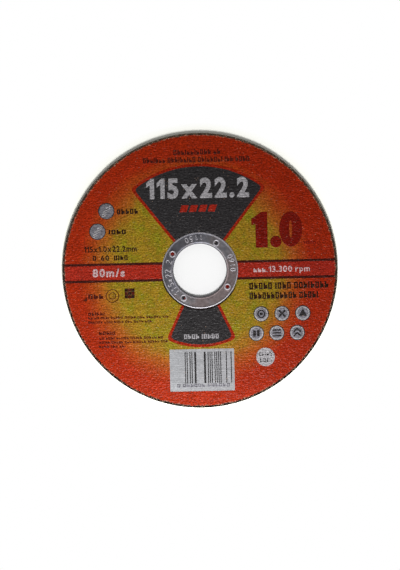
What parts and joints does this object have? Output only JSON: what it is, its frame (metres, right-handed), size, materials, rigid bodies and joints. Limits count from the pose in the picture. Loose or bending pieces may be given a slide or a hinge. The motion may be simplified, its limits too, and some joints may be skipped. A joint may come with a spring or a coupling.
{
  "type": "reinforced abrasive cut-off wheel",
  "caption": "Thin round resin-bonded cutting wheel with glass-fibre mesh faces, a printed paper label and a pressed metal ring round its bore.",
  "frame": {"origin": "on the bore axis, at the level of the back face", "axes": "+Z along the bore axis out of the labelled face, +Y towards the top of the print"},
  "size_m": [0.115, 0.115, 0.0013],
  "materials": {
    "grit": "coarse pressed grit in dark resin",
    "glass_mesh": "resin-soaked glass-fibre rovings",
    "label": "printed paper pressed on to a rough face",
    "ring": "tinned sheet, pressed"
  },
  "bodies": {
    "root": {"abrasive_wheel": "grit", "front_glass_mesh": "glass_mesh", "rear_glass_mesh": "glass_mesh", "paper_label": "label", "centre_ring": "ring"}
  },
  "joints": []
}
